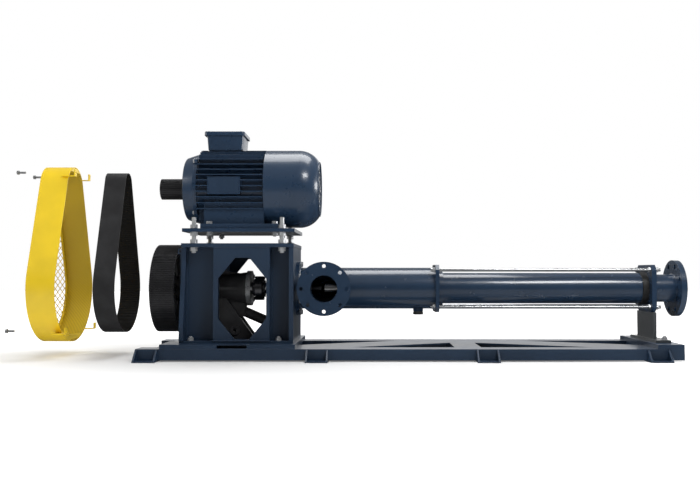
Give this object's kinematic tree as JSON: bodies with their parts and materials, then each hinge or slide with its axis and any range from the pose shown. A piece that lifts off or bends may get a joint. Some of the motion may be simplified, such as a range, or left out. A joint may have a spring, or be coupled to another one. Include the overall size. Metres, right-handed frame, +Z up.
{
  "type": "progressive cavity pump",
  "caption": "Skid-mounted progressive cavity pump with a belt drive from a motor on a height-adjustable plate over the bearing pedestal; belt and guard shown pulled off.",
  "frame": {"origin": "on the floor, below the crossing of the pump's axis and the suction branch", "axes": "+X along the pump from the belt drive to the discharge, +Y to the side away from the suction branch, +Z up"},
  "size_m": [3.1623, 0.68, 1.073],
  "materials": {
    "blue_paint": "semi-gloss",
    "plated_steel": "satin",
    "casting": "rough",
    "machined_steel": "satin",
    "shaft_steel": "satin",
    "polished_steel": "polished",
    "black_rubber": "matte",
    "stator_rubber": "matte",
    "packing": "matte",
    "blackened_iron": "satin",
    "yellow_paint": "semi-gloss",
    "grey_paint": "semi-gloss",
    "plate_alloy": "satin",
    "core_steel": "rough",
    "fan_plastic": "matte"
  },
  "bodies": {
    "skid": {"skid_rails": "blue_paint", "skid_cross_members": "blue_paint", "skid_end_plate": "blue_paint", "skid_feet": "blue_paint", "pedestal_bed_plate": "blue_paint", "pedestal_floor_plate": "blue_paint", "pedestal_left_wall": "blue_paint", "pedestal_right_wall": "blue_paint", "pedestal_front_frame": "blue_paint", "pedestal_rear_frame": "blue_paint", "pedestal_top_plate": "blue_paint", "adjuster_studs": "plated_steel", "bearing_housing": "casting", "bearing_cover": "machined_steel", "bearing_outer_rings": "shaft_steel", "stuffing_box": "casting", "packing_rings": "packing", "gland_follower": "casting", "gland_studs": "plated_steel", "suction_housing": "blue_paint", "drain_plug": "plated_steel", "stator_tube": "blue_paint", "stator_lining": "stator_rubber", "stator_inlet_flange": "blue_paint", "stator_outlet_flange": "blue_paint", "tie_rods": "plated_steel", "discharge_branch": "blue_paint", "discharge_support": "grey_paint", "frame_bolts": "plated_steel"},
    "motor_carriage": {"motor_plate": "blue_paint", "adjuster_upper_nuts": "plated_steel", "motor_foot_bolts": "plated_steel", "motor_frame": "blue_paint", "motor_end_shield": "blue_paint", "motor_rear_shield": "blue_paint", "motor_fan_cover": "blue_paint", "motor_fan_grille": "blue_paint", "terminal_box": "blue_paint", "terminal_box_lid": "blue_paint", "rating_plate": "plate_alloy", "motor_stator_core": "core_steel", "motor_bearings": "shaft_steel"},
    "motor_rotor": {"motor_shaft": "shaft_steel", "motor_rotor_core": "core_steel", "cooling_fan": "fan_plastic", "motor_pulley": "blackened_iron"},
    "drive_line": {"drive_pulley": "blackened_iron", "drive_shaft": "shaft_steel", "coupling_bolts": "plated_steel", "plug_in_shaft": "shaft_steel", "bearing_inner_rings": "shaft_steel"},
    "roller_set": {"bearing_rollers": "shaft_steel"},
    "orbit": {"joint_boots": "black_rubber"},
    "rod": {"coupling_rod": "shaft_steel"},
    "rotor": {"pump_rotor": "polished_steel"},
    "belt": {"toothed_belt": "black_rubber"},
    "guard": {"guard_band": "yellow_paint", "guard_mesh": "yellow_paint", "guard_brackets": "yellow_paint"},
    "bolt_set": {"guard_bolts": "plated_steel"}
  },
  "joints": [
    {"name": "drive_spin", "type": "hinge", "parent": "skid", "child": "drive_line", "pos_m": [-0.6, 0, 0.325], "axis": [1, 0, 0], "continuous": true},
    {"name": "motor_raise", "type": "slide", "parent": "skid", "child": "motor_carriage", "axis": [0, 0, 1], "range_m": [0, 0.0256]},
    {"name": "motor_spin", "type": "hinge", "parent": "motor_carriage", "child": "motor_rotor", "pos_m": [-0.6, 0, 0.804], "axis": [1, 0, 0], "continuous": true},
    {"name": "roller_spin", "type": "hinge", "parent": "skid", "child": "roller_set", "pos_m": [-0.6, 0, 0.325], "axis": [1, 0, 0], "continuous": true},
    {"name": "orbit_spin", "type": "hinge", "parent": "skid", "child": "orbit", "pos_m": [0.045, 0, 0.325], "axis": [1, 0, 0], "continuous": true},
    {"name": "rod_spin", "type": "hinge", "parent": "orbit", "child": "rod", "pos_m": [0.045, 0, 0.325], "axis": [0.9997, 0, 0.0227], "continuous": true},
    {"name": "rotor_spin", "type": "hinge", "parent": "orbit", "child": "rotor", "pos_m": [0.485, 0, 0.335], "axis": [1, 0, 0], "continuous": true},
    {"name": "guard_slide", "type": "slide", "parent": "skid", "child": "guard", "axis": [1, 0, 0], "range_m": [0, 0.519]},
    {"name": "belt_slide", "type": "slide", "parent": "skid", "child": "belt", "axis": [1, 0, 0], "range_m": [0, 0.264]},
    {"name": "bolts_slide", "type": "slide", "parent": "skid", "child": "bolt_set", "axis": [1, 0, 0], "range_m": [0, 0.785]}
  ],
  "couplings": [
    {"joint": "motor_spin", "follows": "drive_spin", "ratio": 4.125},
    {"joint": "roller_spin", "follows": "drive_spin", "ratio": 0.442},
    {"joint": "orbit_spin", "follows": "drive_spin", "ratio": -1},
    {"joint": "rod_spin", "follows": "drive_spin", "ratio": 2},
    {"joint": "rotor_spin", "follows": "drive_spin", "ratio": 2},
    {"joint": "belt_slide", "follows": "guard_slide", "ratio": 0.50867},
    {"joint": "bolts_slide", "follows": "guard_slide", "ratio": 1.5125}
  ]
}
